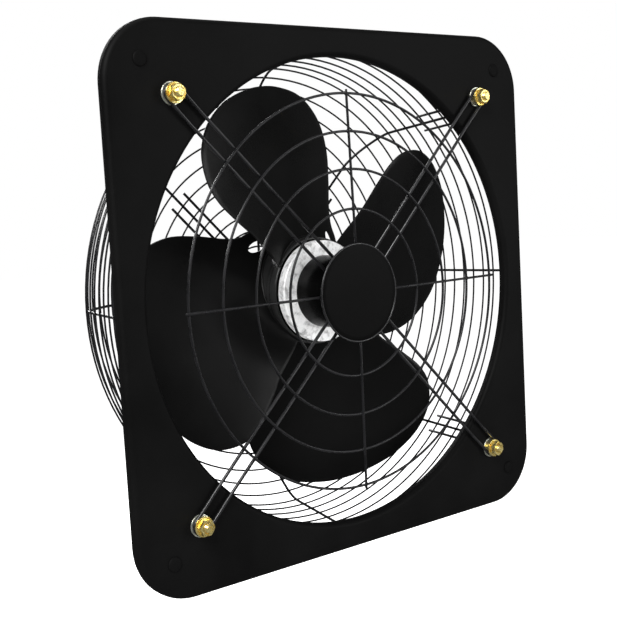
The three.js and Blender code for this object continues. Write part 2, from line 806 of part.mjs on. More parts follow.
function boss() {
  const inner = SHAFT_R + GAP;
  const step = HUB_BORE_R - GAP;
  const y = HUB_REAR_Y + GAP;
  const nose = hubSeatY - 6;
  const turnedBoss = turned([
    [inner, nose], [step, nose], [step, y], [BOSS_R, y], [BOSS_R, BOSS_REAR_Y],
    [inner, BOSS_REAR_Y], [inner, nose],
  ], 18);
  return cut(turnedBoss, [sideways(rod(SET_SCREW_R + GAP, 0, BOSS_R + 2, 8), setScrewY)]);
}

function sideways(geometry, y) {
  return geometry.rotateZ(-Math.PI / 2).translate(0, y, 0);
}

function setScrew() {
  return sideways(rod(SET_SCREW_R, SHAFT_R + GAP, BOSS_R + 1.5, 8), setScrewY);
}

function shaftWasher() {
  return flatRing(SHAFT_R + GAP, SHAFT_WASHER_R, shaftWasherY, shaftWasherY + SHAFT_WASHER_T, 14);
}

function shaftNut() {
  const bore = rod(SHAFT_R + GAP, nutFrontY - 1, nutFrontY + SHAFT_NUT_HEIGHT + 1, 14);
  return cut(hexPrism(SHAFT_NUT_FLATS, nutFrontY, nutFrontY + SHAFT_NUT_HEIGHT), [bore]);
}

// One edge of the blade's outline, from the root to the tip, as [along, across] points.
const LEADING_EDGE = [
  [36, 33], [50, 42], [76, 56], [100, 73], [122, 86], [143, 90], [168, 82], [187, 61],
  [197.5, 32],
];
const TRAILING_EDGE = [
  [-4, -50], [2, -62], [12, -72], [25, -76], [38, -76], [52, -81], [78, -95], [108, -106],
  [140, -104], [170, -84], [189, -51], [197.5, -20],
];
const BLADE_TIP = [BLADE_TIP_R - 0.5, 6];

function edgePoint(edge, t) {
  const stations = [...edge, BLADE_TIP].map(([along, across]) => new THREE.Vector2(along, across));
  return new THREE.SplineCurve(stations).getPoint(t);
}

// Places a point of the flat outline on the twisted blade, whose camber has one curvature.
function onBlade(flat, across, width, thickness) {
  const reach = (flat.x - BLADE_ROOT_R) / (BLADE_TIP_R - BLADE_ROOT_R);
  const share = THREE.MathUtils.clamp(reach, 0, 1);
  const pitch = radians(THREE.MathUtils.lerp(BLADE_PITCH_ROOT, BLADE_PITCH_TIP, share));
  const camber = BLADE_CAMBER * (width / BLADE_WIDTH) ** 2;
  const crown = thickness - camber * (1 - (2 * across - 1) ** 2);
  const side = flat.y * Math.cos(pitch) - crown * Math.sin(pitch);
  const y = BLADE_MID_Y - flat.y * Math.sin(pitch) + crown * Math.cos(pitch);
  return new THREE.Vector3(flat.x, y, side);
}

function bladeSurfaces(rows, columns) {
  const loops = [];
  for (let i = 0; i < rows; i += 1) {
    const lead = edgePoint(LEADING_EDGE, i / rows);
    const trail = edgePoint(TRAILING_EDGE, i / rows);
    const width = lead.distanceTo(trail);
    const front = [];
    const rear = [];
    for (let k = 0; k <= columns; k += 1) {
      const flat = lead.clone().lerp(trail, k / columns);
      front.push(onBlade(flat, k / columns, width, -BLADE_T / 2));
      rear.push(onBlade(flat, k / columns, width, BLADE_T / 2));
    }
    loops.push([...front, ...rear.reverse()]);
  }
  return loops;
}

// The blade is trimmed to the hub and has a relief slot behind its root.
function blade() {
  const sheet = skinned(bladeSurfaces(14, 4));
  const hubSides = 72;
  const hubRoom = rod(HUB_R + GAP, 0, 140, hubSides).rotateY(Math.PI / hubSides);
  const slot = rod(1, 0, 140, 12).scale(BLADE_SLOT.length / 2, 1, BLADE_SLOT.width / 2);
  return cut(sheet, [hubRoom, slot.translate(BLADE_SLOT.along, 0, BLADE_SLOT.aside)]);
}

add('motor_shaft', shaft(), bareSteel());
add('rotor_core', rotorCore(), laminatedSteel());
add('fan_hub', hub(), blackGloss());
add('hub_boss', boss(), bareSteel());
add('hub_set_screw', setScrew(), bareSteel());
add('shaft_washer', shaftWasher(), bareSteel());
add('shaft_nut', shaftNut(), bareSteel());
for (let i = 0; i < BLADE_COUNT; i += 1) {
  const angle = radians(BLADE_FIRST_ANGLE + i * 360 / BLADE_COUNT);
  add(`fan_blade_${i + 1}`, blade(), blackGloss()).rotation.y = -angle;
}

export default fan;
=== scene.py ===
"""Looks of a square-panel axial exhaust fan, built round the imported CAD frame.

Shapes are worked out in millimetres and written to meshes in metres. The fan axis is +Y, the
panel's front face is y = 0 and the front looks along -Y.
"""

import json
import math

import bmesh
import bpy
from mathutils import Matrix, Vector, noise


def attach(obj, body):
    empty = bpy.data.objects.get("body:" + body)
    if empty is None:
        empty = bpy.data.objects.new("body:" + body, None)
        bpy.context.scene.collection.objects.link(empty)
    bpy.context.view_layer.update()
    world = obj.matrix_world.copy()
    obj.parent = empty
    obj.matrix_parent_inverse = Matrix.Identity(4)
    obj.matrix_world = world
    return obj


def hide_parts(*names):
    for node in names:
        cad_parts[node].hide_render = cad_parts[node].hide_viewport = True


MM = 0.001
TAU = 2 * math.pi

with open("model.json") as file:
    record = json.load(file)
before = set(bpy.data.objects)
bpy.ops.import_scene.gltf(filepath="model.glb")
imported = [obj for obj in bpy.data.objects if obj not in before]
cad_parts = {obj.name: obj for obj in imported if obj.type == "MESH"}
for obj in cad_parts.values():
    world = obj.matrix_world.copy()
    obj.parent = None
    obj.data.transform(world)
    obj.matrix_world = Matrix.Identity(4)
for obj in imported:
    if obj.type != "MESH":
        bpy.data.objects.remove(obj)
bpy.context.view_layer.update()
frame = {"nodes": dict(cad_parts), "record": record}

# ------------------------------------------------------------------ dimensions, millimetres

PANEL_HALF = 240
PANEL_CORNER = 54
PANEL_BEND = 5
PANEL_DEPTH = 9
SHEET = 1.5
EDGE_ROUND = 0.4
OPENING = 214
COLLAR_DEPTH = 9.6
MOUNT_HOLE_AT = 206
MOUNT_HOLE = 3.5
PLUG_HEAD = 6.5
PLUG_DOME = 1.8
PANEL_WASHER = 9.8
PANEL_WASHER_Y = (-1.35, -0.05)
NUT_WASHER = 8.8
NUT_WASHER_THICK = 1.6
REAR_WASHER_THICK = 1.2
BOLT_AT = 179
BOLT_RING = BOLT_AT * math.sqrt(2)
BOLT = 4
BOLT_HOLE = 4.5
BOLT_PITCH = 1.25
BOLT_TURNS = (13, 41, 7, 29)  # degrees, how far each bolt and nut is turned
NUT_FLATS = 13
NUT_HEIGHT = 5.5
HEAD_HEIGHT = 5.3
WASHER_BORE = 4.3
TOUCH = 0.3  # clearance between wires and washers that touch
MERGE = 0.002  # points nearer than this become one

ARM_WIRE = 3
ARM_GAP = 7.5
ARM_INNER = 17
ARM_BEND = 226
ARM_Y_BOLT = -3.4
ARM_Y_OUTER = -2.9
ARM_Y_INNER = -6.6

GUARD_WIRE = 2.4
GUARD_RINGS = (76.5, 112.5, 146.5, 180.5)
DISC = 45.5
DISC_THICK = 1.2
DISC_RIM_WIRE = 1.8
SPOKE_INNER = 36
GUARD_NUGGET = (2.1, 1.9, 1.1)  # half sizes along, across and deep

BASKET_RING_WIRE = 1.8
BASKET_SPOKE_WIRE = 2.6
BASKET_SIDE = tuple((231 - 15.5 * i / 7, 19 + 85 * i / 7) for i in range(8))
BASKET_SLOPE = ((208, 115), (198, 125.2), (186, 134.4))
BASKET_FLAT_Y = 141
BASKET_FLAT = (170, 154, 138, 122, 106, 90, 74, 58, 42, 26)
BASKET_FOOT_GAP = 9.5
BASKET_STAY_GAP = 10
BASKET_STAY = (32, 130)

MOTOR_PLATE = 33
PLATE_SCREW_CIRCLE = 24
PLATE_SCREW_HEAD = 4.2
FRONT_BELL = 34
FRONT_SEAT_END = 8.5
BEARING_SEAT = (14.2, 16.3)  # radii inside and outside
REAR_BELL = 46
REAR_BELL_END = 71
REAR_SEAT_START = 60.7
STATOR = 48
STATOR_BORE = 22
STATOR_Y = (37.9, 47.1)
GLAND_Y = 22
GLAND_DEGREES = 35

HUB = 51
HUB_WALL = 2
HUB_BORE = 8.3
HUB_FRONT = 47.6
HUB_REAR = 84
BOSS = 13
BOSS_Y = (76, 84.2, 90)
GRUB_SCREW_Y = 87.3
SHAFT = 6
SHAFT_Y = (2, 90, 106)  # front end, start of the thread, rear end
SHAFT_WASHER = 11
SHAFT_WASHER_Y = (90.2, 91.7)
SHAFT_NUT_FLATS = 16
SHAFT_NUT_Y = (91.9, 99.9)
BLADE_FIRST = 109
BLADE_MID_Y = 61
BLADE_ROOT = 60
BLADE_TIP = 200
BLADE_SLOT = (27, -57, 21, 9)  # along, aside, length, width
BLADE_CUT_Y = (20, 110)
BLADE_WELD = 2.6
BLADE_WELD_LIFT = 0.9
BLADE_THICK = 1.6
BLADE_PITCH = (21, 15)  # degrees, at the root and at the tip
BLADE_CAMBER = 5
BLADE_WIDTH = 190  # where the camber is BLADE_CAMBER deep
LEADING_EDGE = (
    (36, 33), (50, 42), (76, 56), (100, 73), (122, 86), (143, 90), (168, 82), (187, 61),
    (197.5, 32), (199.5, 6),
)
TRAILING_EDGE = (
    (-4, -50), (2, -62), (12, -72), (25, -76), (38, -76), (52, -81), (78, -95), (108, -106),
    (140, -104), (170, -84), (189, -51), (197.5, -20), (199.5, 6),
)

CORNERS = (("top_right", 45), ("top_left", 135), ("bottom_left", 225), ("bottom_right", 315))

# ------------------------------------------------------------------ node helpers


def new_material(name):
    """A material, its node tree, its shader and the object coordinates in metres."""
    material = bpy.data.materials.new(name)
    material.use_nodes = True
    tree = material.node_tree
    shader = tree.nodes["Principled BSDF"]
    place = tree.nodes.new("ShaderNodeTexCoord").outputs["Object"]
    return material, tree, shader, place


def noise_of(tree, place, scale, detail=4.0, rough=0.6, distortion=0.0):
    node = tree.nodes.new("ShaderNodeTexNoise")
    node.inputs["Scale"].default_value = scale
    node.inputs["Detail"].default_value = detail
    node.inputs["Roughness"].default_value = rough
    node.inputs["Distortion"].default_value = distortion
    tree.links.new(place, node.inputs["Vector"])
    return node.outputs["Fac"]


def ramp(tree, value, *stops):
    """Colour ramp; each stop is a position and a grey or a colour."""
    node = tree.nodes.new("ShaderNodeValToRGB")
    tree.links.new(value, node.inputs["Fac"])
    elements = node.color_ramp.elements
    while len(elements) < len(stops):
        elements.new(0.5)
    for element, (at, colour) in zip(elements, stops):
        element.position = at
        element.color = (*colour, 1) if hasattr(colour, "__len__") else (colour, colour, colour, 1)
    return node.outputs["Color"]


def spread_over(tree, value, low, high, low_at=0.3, high_at=0.7):
    """Maps a value from low_at..high_at to low..high, clamped."""
    node = tree.nodes.new("ShaderNodeMapRange")
    node.inputs["From Min"].default_value = low_at
    node.inputs["From Max"].default_value = high_at
    node.inputs["To Min"].default_value = low
    node.inputs["To Max"].default_value = high
    tree.links.new(value, node.inputs["Value"])
    return node.outputs["Result"]


def maths(tree, operation, a, b=None):
    node = tree.nodes.new("ShaderNodeMath")
    node.operation = operation
    for socket, value in zip(node.inputs, (a, b)):
        if value is None:
            continue
        if isinstance(value, (int, float)):
            socket.default_value = value
        else:
            tree.links.new(value, socket)
    return node.outputs[0]


def bumped(tree, shader, height, distance, strength=1.0, after=None):
    """Adds a bump to the shader, on top of the bump given as after."""
    node = tree.nodes.new("ShaderNodeBump")
    node.inputs["Distance"].default_value = distance
    node.inputs["Strength"].default_value = strength
    tree.links.new(height, node.inputs["Height"])
    if after is not None:
        tree.links.new(after, node.inputs["Normal"])
    tree.links.new(node.outputs["Normal"], shader.inputs["Normal"])
    return node.outputs["Normal"]


def split(tree, place):
    node = tree.nodes.new("ShaderNodeSeparateXYZ")
    tree.links.new(place, node.inputs[0])
    return node.outputs


# ------------------------------------------------------------------ materials

STRAND_PITCH = 0.0007  # metres
DUST = (0.25, 0.24, 0.22, 1)


def along_axis(tree, place, scale):
    """Noise that changes only along the fan axis, so it draws rings round a turned piece; on the
    hub drum these lighter rings are painted highlight streaks.
    """
    node = tree.nodes.new("ShaderNodeMapping")
    node.inputs["Scale"].default_value = (0.02, 1.0, 0.02)
    tree.links.new(place, node.inputs["Vector"])
    return noise_of(tree, node.outputs["Vector"], scale, 3, 0.65)


def paint(name, dark, light, rough, specular, peel, rings=0):
    """Black paint: slow changes of tone and gloss, an orange-peel skin and a little dust. Given
    rings, the slow tone runs in rings round the fan axis as painted highlight streaks.
    """
    material, tree, shader, place = new_material(name)
    slow = along_axis(tree, place, rings) if rings else noise_of(tree, place, 9, 3, 0.55)
    fine = noise_of(tree, place, 620, 3, 0.5)
    specks = noise_of(tree, place, 2300, 2, 0.5)
    tone = ramp(tree, slow, (0.3, dark), (0.7, light))
    dust = spread_over(tree, specks, 0.0, 0.05, 0.66, 0.78)
    mix = tree.nodes.new("ShaderNodeMix")
    mix.data_type = "RGBA"
    tree.links.new(dust, mix.inputs["Factor"])
    tree.links.new(tone, mix.inputs[6])
    mix.inputs[7].default_value = DUST
    tree.links.new(mix.outputs[2], shader.inputs["Base Color"])
    gloss = maths(tree, "ADD", spread_over(tree, slow, -0.05, 0.06), rough)
    gloss = maths(tree, "ADD", gloss, spread_over(tree, specks, -0.03, 0.06))
    tree.links.new(gloss, shader.inputs["Roughness"])
    shader.inputs["Specular IOR Level"].default_value = specular
    skin = bumped(tree, shader, fine, 0.00012, peel)
    bumped(tree, shader, slow, 0.0008, 0.15, skin)
    return material


def dip_coat(name, specular):
    """Black plastic dip on wire: thick, slightly lumpy and glossier where it has run."""
    material, tree, shader, place = new_material(name)
    runs = noise_of(tree, place, 60, 3, 0.5)
    fine = noise_of(tree, place, 900, 2, 0.5)
    tone = ramp(tree, runs, (0.3, (0.004, 0.004, 0.0045)), (0.7, (0.009, 0.009, 0.010)))
    tree.links.new(tone, shader.inputs["Base Color"])
    tree.links.new(spread_over(tree, runs, 0.22, 0.38), shader.inputs["Roughness"])
    shader.inputs["Specular IOR Level"].default_value = specular
    lumps = bumped(tree, shader, runs, 0.0006, 0.5)
    bumped(tree, shader, fine, 0.00008, 0.4, lumps)
    return material


def plated(name, tones, rough, grain):
    """Zinc plate: mottled passivate colours, scuffed roughness, fine grain."""
    material, tree, shader, place = new_material(name)
    mottle = noise_of(tree, place, 210, 3, 0.6, 0.8)
    fine = noise_of(tree, place, 1900, 2, 0.6)
    stops = [(0.28 + 0.44 * i / (len(tones) - 1), tone) for i, tone in enumerate(tones)]
    tree.links.new(ramp(tree, mottle, *stops), shader.inputs["Base Color"])
    shader.inputs["Metallic"].default_value = 0.93
    tree.links.new(spread_over(tree, fine, rough, rough + 0.16), shader.inputs["Roughness"])
    bumped(tree, shader, fine, 0.00006, grain)
    return material


def turned_steel(name, tones, rough, pitch, metallic=1.0):
    """Machined steel: tool marks in rings round the axis, pitch metres apart."""
    material, tree, shader, place = new_material(name)
    x, _, z = split(tree, place)
    radius = maths(tree, "SQRT", maths(tree, "ADD", maths(tree, "MULTIPLY", x, x),
                                       maths(tree, "MULTIPLY", z, z)))
    ridges = maths(tree, "SINE", maths(tree, "MULTIPLY", radius, TAU / pitch))
    cloud = noise_of(tree, place, 140, 3, 0.6)
    fine = noise_of(tree, place, 1400, 3, 0.6)
    stops = [(0.32 + 0.36 * i / (len(tones) - 1), tone) for i, tone in enumerate(tones)]
    tree.links.new(ramp(tree, cloud, *stops), shader.inputs["Base Color"])
    shader.inputs["Metallic"].default_value = metallic
    gloss = maths(tree, "ADD", spread_over(tree, cloud, rough - 0.05, rough + 0.1),
                  spread_over(tree, fine, -0.04, 0.06))
    tree.links.new(gloss, shader.inputs["Roughness"])
    marks = bumped(tree, shader, ridges, 0.00006, 0.6)
    bumped(tree, shader, fine, 0.00005, 0.5, marks)
    return material


def soft_rubber(name):
    material, tree, shader, place = new_material(name)
    grain = noise_of(tree, place, 700, 4, 0.6)
    tree.links.new(ramp(tree, grain, (0.3, 0.012), (0.7, 0.028)), shader.inputs["Base Color"])
    tree.links.new(spread_over(tree, grain, 0.6, 0.85), shader.inputs["Roughness"])
    shader.inputs["Specular IOR Level"].default_value = 0.3
    bumped(tree, shader, grain, 0.0001, 0.6)
    return material


def wound_copper(name):
    material, tree, shader, place = new_material(name)
    _, y, _ = split(tree, place)
    strands = maths(tree, "SINE", maths(tree, "MULTIPLY", y, TAU / STRAND_PITCH))
    cloud = noise_of(tree, place, 160, 3, 0.6)
    tones = ((0.3, (0.30, 0.10, 0.035)), (0.7, (0.55, 0.22, 0.08)))
    tree.links.new(ramp(tree, cloud, *tones), shader.inputs["Base Color"])
    shader.inputs["Metallic"].default_value = 0.9
    tree.links.new(spread_over(tree, cloud, 0.25, 0.45), shader.inputs["Roughness"])
    bumped(tree, shader, strands, 0.0002, 0.8)
    return material


LOOKS = {
    "panel_black": paint("powder_black", 0.0020, 0.0042, 0.50, 0.05, 0.5),
    "disc_black": paint("disc_black", 0.0010, 0.0018, 0.42, 0.05, 0.4),
    "blade_black": paint("blade_black", 0.0018, 0.0032, 0.30, 0.16, 0.35),
    "motor_black": paint("motor_black", 0.0022, 0.0040, 0.24, 0.45, 0.25),
    # the front bell's paint is a darker copy of the motor paint: painted shade that keeps it black
    # beside the bright stator
    "bell_black": paint("bell_black", 0.0008, 0.0016, 0.20, 0.05, 0.25),
    # the hub drum's lighter tone, set in rings round the axis, paints highlight streaks into its
    # colour
    "drum_black": paint("drum_black", 0.0030, 0.0200, 0.30, 0.50, 0.25, rings=420),
    "wire_black": dip_coat("wire_dip_black", 0.28),
    "arm_black": dip_coat("arm_dip_black", 0.5),
    "yellow_zinc": plated(
        "yellow_zinc",
        ((0.66, 0.38, 0.06), (0.92, 0.68, 0.17), (1.0, 0.86, 0.40), (0.80, 0.64, 0.15)),
        0.16, 0.5,
    ),
    "clear_zinc": plated(
        "clear_zinc", ((0.62, 0.68, 0.56), (0.80, 0.82, 0.72), (0.88, 0.85, 0.68)), 0.26, 0.5,
    ),
    # the stator face's dark first tone paints mottled patches of shade and of the blades' dark
    # reflection, on top of the steel's own uneven tone
    "lamination_steel": turned_steel("stator_face", (0.42, 0.92, 1.0), 0.34, 0.0009, 0.3),
    "bare_steel": turned_steel("turned_steel", (0.46, 0.62), 0.28, 0.0008),
    "copper": wound_copper("wound_copper"),
    "rubber_black": soft_rubber("rubber_black"),
    "plug_black": paint("plug_black", 0.0020, 0.0038, 0.60, 0.05, 0.6),
}

for part in frame["record"]["subparts"]:
    node = frame["nodes"].get(part["node"])
    if node is not None:
        node.data.materials.clear()
        node.data.materials.append(LOOKS[part["material_slot"]])

# ------------------------------------------------------------------ mesh helpers


class Form:
    """Points in millimetres and faces, gathered from grids of points."""

    def __init__(self):
        self.points = []
        self.faces = []

    def grid(self, rows, wrap_rows=False, wrap_columns=False):
        start = len(self.points)
        width = len(rows[0])
        for row in rows:
            self.points.extend(row)
        deep = len(rows) if wrap_rows else len(rows) - 1
        across = width if wrap_columns else width - 1
        for i in range(deep):
            a = start + i * width
            b = start + (i + 1) % len(rows) * width
            for k in range(across):
                n = (k + 1) % width
                self.faces.append((a + k, a + n, b + n, b + k))
        return self

    def cap(self, row):
        start = len(self.points)
        self.points.extend(row)
        self.faces.append(tuple(range(start, start + len(row))))
        return self

    def moved(self, dx=0, dy=0, dz=0):
        self.points = [(x + dx, y + dy, z + dz) for x, y, z in self.points]
        return self

    def turned(self, matrix):
        self.points = [tuple(matrix @ Vector(p)) for p in self.points]
        return self

    def add(self, other):
        start = len(self.points)
        self.points.extend(other.points)
        self.faces.extend(tuple(i + start for i in face) for face in other.faces)
        return self


def turned_about_axis(profile, segments=96, closed=False):
    """Profile of (radius, y) turned about Y. Radius 0 closes on the axis."""
    rows = []
    for r, y in profile:
        rows.append([
            (r * math.cos(TAU * i / segments), y, r * math.sin(TAU * i / segments))
            for i in range(segments)
        ])
    return Form().grid(rows, wrap_rows=closed, wrap_columns=True)


def arc(centre, radius, start, end, steps):
    """(radius, y) points on an arc, angles in degrees from the outward direction to +Y."""
    cx, cy = centre
    return [
        (cx + radius * math.cos(math.radians(start + (end - start) * i / steps)),
         cy + radius * math.sin(math.radians(start + (end - start) * i / steps)))
        for i in range(steps + 1)
    ]


def rounded(profile, reach, steps=3):
    """Profile with each corner between its ends rounded by a short curve."""
    done = [profile[0]]
    for before, here, after in zip(profile, profile[1:], profile[2:]):
        a, b, c = Vector(before), Vector(here), Vector(after)
        cut = min(reach, (b - a).length / 2.1, (c - b).length / 2.1)
        if cut < 1e-6:
            continue
        start = b + (a - b).normalized() * cut
        end = b + (c - b).normalized() * cut
        for i in range(steps + 1):
            t = i / steps
            done.append(tuple((1 - t) ** 2 * start + 2 * t * (1 - t) * b + t * t * end))
    done.append(profile[-1])
    return done


def wire_ring(radius, y, wire, segments=144, sides=12):
    profile = [
        (radius + wire / 2 * math.cos(TAU * i / sides), y + wire / 2 * math.sin(TAU * i / sides))
        for i in range(sides)
    ]
    return turned_about_axis(profile, segments, closed=True)


def wire_along(points, wire, sides=12):
    """A round wire along a line of points, with softly domed ends."""
    line = [Vector(p) for p in points]
    tangents = []
    for i in range(len(line)):
        before = line[max(i - 1, 0)]
        after = line[min(i + 1, len(line) - 1)]
        tangents.append((after - before).normalized())
    side = tangents[0].orthogonal().normalized()
    stations = []
    for i, (p, t) in enumerate(zip(line, tangents)):
        if i:
            side = tangents[i - 1].rotation_difference(t) @ side
            side = (side - t * side.dot(t)).normalized()
        stations.append((p, t, side.copy()))
    rows = []

    def ring(p, t, s, radius):
        up = t.cross(s)
        return [
            tuple(p + radius * (math.cos(TAU * k / sides) * s + math.sin(TAU * k / sides) * up))
            for k in range(sides)
        ]

    r = wire / 2
    p, t, s = stations[0]
    for back, share in ((0.42, 0.05), (0.38, 0.45), (0.25, 0.8)):
        rows.append(ring(p - t * r * back, t, s, r * share))
    for p, t, s in stations:
        rows.append(ring(p, t, s, r))
    p, t, s = stations[-1]
    for ahead, share in ((0.25, 0.8), (0.38, 0.45), (0.42, 0.05)):
        rows.append(ring(p + t * r * ahead, t, s, r * share))
    form = Form().grid(rows, wrap_columns=True)
    form.cap(rows[0])
    form.cap(list(reversed(rows[-1])))
    return form


def smooth_line(corners, reach, steps=6):
    """Line of points with each corner rounded over reach millimetres."""
    return [tuple(p) for p in rounded([tuple(c) for c in corners], reach, steps)]


def on_radius(degrees, along, aside, y):
    """Point given along and beside a radius line at an angle from +X towards +Z."""
    c, s = math.cos(math.radians(degrees)), math.sin(math.radians(degrees))
    return (along * c - aside * s, y, along * s + aside * c)


def nugget(at, along, across, deep, direction, seed):
    """A small weld nugget: a lumpy ellipsoid lying along a direction."""
    form = Form()
    rows = []
    rings, sides = 6, 10
    for i in range(rings + 1):
        polar = math.pi * i / rings
        row = []
        for k in range(sides):
            a = TAU * k / sides
            lump = 1 + 0.12 * noise.noise(Vector((i * 0.9, k * 0.8, seed * 3.1)))
            row.append((
                along * math.cos(polar) * lump,
                deep * math.sin(polar) * math.cos(a) * lump,
                across * math.sin(polar) * math.sin(a) * lump,
            ))
        rows.append(row)
    form.grid(rows, wrap_columns=True)
    turn = Vector((1, 0, 0)).rotation_difference(Vector(direction)).to_matrix()
    return form.turned(turn).moved(*at)


def shaded(mesh, sharp):
    mesh.shade_smooth()
    mesh.set_sharp_from_angle(angle=math.radians(sharp))


def made(name, form, look, body, stands_for=(), sharp=32):
    """Turns a form into an object that rides on its CAD body and stands for CAD nodes."""
    mesh = bpy.data.meshes.new(name)
    points = [(x * MM, y * MM, z * MM) for x, y, z in form.points]
    mesh.from_pydata(points, [], form.faces)
    work = bmesh.new()
    work.from_mesh(mesh)
    bmesh.ops.remove_doubles(work, verts=work.verts, dist=MERGE * MM)
    bmesh.ops.dissolve_degenerate(work, edges=work.edges, dist=MERGE * MM)
    bmesh.ops.recalc_face_normals(work, faces=work.faces)
    work.to_mesh(mesh)
    work.free()
    shaded(mesh, sharp)
    mesh.materials.append(LOOKS[look])
    obj = bpy.data.objects.new(name, mesh)
    bpy.context.scene.collection.objects.link(obj)
    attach(obj, body)
    if stands_for:
        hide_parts(*stands_for)
    return obj


def carved(obj, cutter, sharp=32):
    """Takes the cutter's form away from the object's mesh."""
    mesh = bpy.data.meshes.new("cutter")
    mesh.from_pydata([tuple(c * MM for c in p) for p in cutter.points], [], cutter.faces)
    work = bmesh.new()
    work.from_mesh(mesh)
    bmesh.ops.remove_doubles(work, verts=work.verts, dist=1e-6)
    bmesh.ops.recalc_face_normals(work, faces=work.faces)
    work.to_mesh(mesh)
    work.free()
    tool = bpy.data.objects.new("cutter", mesh)
    bpy.context.scene.collection.objects.link(tool)
    step = obj.modifiers.new("carve", "BOOLEAN")
    step.object = tool
    step.operation = "DIFFERENCE"
    step.solver = "EXACT"
    bpy.context.view_layer.update()
    result = bpy.data.meshes.new_from_object(obj.evaluated_get(
        bpy.context.evaluated_depsgraph_get()))
    obj.modifiers.clear()
    obj.data = result
    bpy.data.objects.remove(tool)
    shaded(result, sharp)
    return obj


# ------------------------------------------------------------------ panel


def square_loop(inset, y, per_side=40, per_corner=18):
    """Points round the panel's outline, drawn in by inset, denser where rays are wide."""
    centre = PANEL_HALF - PANEL_CORNER
    reach = math.atan2(centre, PANEL_HALF)
    loop = []
    for quarter in range(4):
        turn = Matrix.Rotation(-quarter * math.pi / 2, 3, "Y")
        for i in range(per_side):
            z = centre * math.tan(-reach + 2 * reach * i / per_side) / math.tan(reach)
            loop.append(turn @ Vector((PANEL_HALF - inset, y, z)))
        for i in range(per_corner):
            a = math.pi / 2 * i / per_corner
            r = PANEL_CORNER - inset
            loop.append(turn @ Vector((centre + r * math.cos(a), y, centre + r * math.sin(a))))
    return [tuple(p) for p in loop]


def circle_like(loop, radius, y):
    """A circle with one point on the ray of each point of the loop."""
    ring = []
    for x, _, z in loop:
        length = math.hypot(x, z)
        ring.append((x / length * radius, y, z / length * radius))
    return ring


def panel_form():
    """The pressed sheet: from the collar over the flat face to the folded rim, and back inside."""
    guide = square_loop(PANEL_BEND, 0)
    bend = PANEL_BEND
    inner = bend - SHEET
    rows = []
    rows.append(circle_like(guide, OPENING, COLLAR_DEPTH - EDGE_ROUND))
    for i in range(9):
        a = math.pi / 2 * i / 8
        radius = OPENING + bend * (1 - math.cos(a))
        rows.append(circle_like(guide, radius, bend * (1 - math.sin(a))))
    for share in (0.25, 0.6):
        ring = circle_like(guide, OPENING + bend, 0)
        rows.append([
            tuple(Vector(p).lerp(Vector(q), share)) for p, q in zip(ring, guide)
        ])
    for i in range(9):
        a = math.pi / 2 * i / 8
        rows.append(square_loop(bend * (1 - math.sin(a)), bend * (1 - math.cos(a))))
    rows.append(square_loop(0, PANEL_DEPTH - EDGE_ROUND))
    rows.append(square_loop(EDGE_ROUND, PANEL_DEPTH))
    rows.append(square_loop(SHEET - EDGE_ROUND, PANEL_DEPTH))
    rows.append(square_loop(SHEET, PANEL_DEPTH - EDGE_ROUND))
    for i in range(6):
        a = math.pi / 2 * (1 - i / 5)
        rows.append(square_loop(
            SHEET + inner * (1 - math.sin(a)), SHEET + inner * (1 - math.cos(a))))
    for i in range(6):
        a = math.pi / 2 * (1 - i / 5)
        radius = OPENING + SHEET + inner * (1 - math.cos(a))
        rows.append(circle_like(guide, radius, SHEET + inner * (1 - math.sin(a))))
    rows.append(circle_like(guide, OPENING + SHEET, COLLAR_DEPTH - EDGE_ROUND))
    rows.append(circle_like(guide, OPENING + SHEET - EDGE_ROUND, COLLAR_DEPTH))
    rows.append(circle_like(guide, OPENING + EDGE_ROUND, COLLAR_DEPTH))
    return Form().grid(rows, wrap_rows=True, wrap_columns=True)


def rod_form(radius, y0, y1, segments=32):
    return turned_about_axis([(0, y0), (radius, y0), (radius, y1), (0, y1)], segments)


panel = made("panel_sheet", panel_form(), "panel_black", "frame", ["frame_panel"], sharp=40)
PUNCH_Y = (-2, 4)
holes = Form()
for sx in (-1, 1):
    for sz in (-1, 1):
        holes.add(rod_form(MOUNT_HOLE, *PUNCH_Y).moved(sx * MOUNT_HOLE_AT, 0, sz * MOUNT_HOLE_AT))
        holes.add(rod_form(BOLT_HOLE, *PUNCH_Y).moved(sx * BOLT_AT, 0, sz * BOLT_AT))
carved(panel, holes, 40)

plug_profile = rounded([
    (0, -PLUG_DOME), (3.4, -PLUG_DOME), (5.7, -PLUG_DOME + 0.45), (PLUG_HEAD, -0.5),
    (PLUG_HEAD, -0.05), (MOUNT_HOLE - 0.15, -0.05), (MOUNT_HOLE - 0.15, 2.2), (2.4, 4.4), (0, 4.4),
], 0.5, 4)
for corner, degrees in CORNERS:
    x, _, z = on_radius(degrees, MOUNT_HOLE_AT * math.sqrt(2), 0, 0)
    made(f"plug_{corner}", turned_about_axis(plug_profile, 56).moved(x, 0, z), "plug_black",
         "frame", [f"hole_plug_{corner}"], sharp=45)

# ------------------------------------------------------------------ motor arms


def arm_y(along):
    """The y of an arm's wire at a distance from the axis."""
    share = min(max((along - ARM_INNER) / (ARM_BEND - ARM_INNER), 0), 1)
    return ARM_Y_INNER + (ARM_Y_OUTER - ARM_Y_INNER) * share


def hairpin(degrees, gap, stations, loop_y):
    """The two legs of a hairpin and the half loop that joins them round a corner bolt."""
    there = [on_radius(degrees, along, gap, y) for along, y in stations]
    back = [on_radius(degrees, along, -gap, y) for along, y in reversed(stations)]
    loop = []
    for i in range(1, 24):
        a = math.pi / 2 - math.pi * i / 24
        loop.append(on_radius(
            degrees, BOLT_RING + gap * math.cos(a), gap * math.sin(a), loop_y))
    return there, loop, back


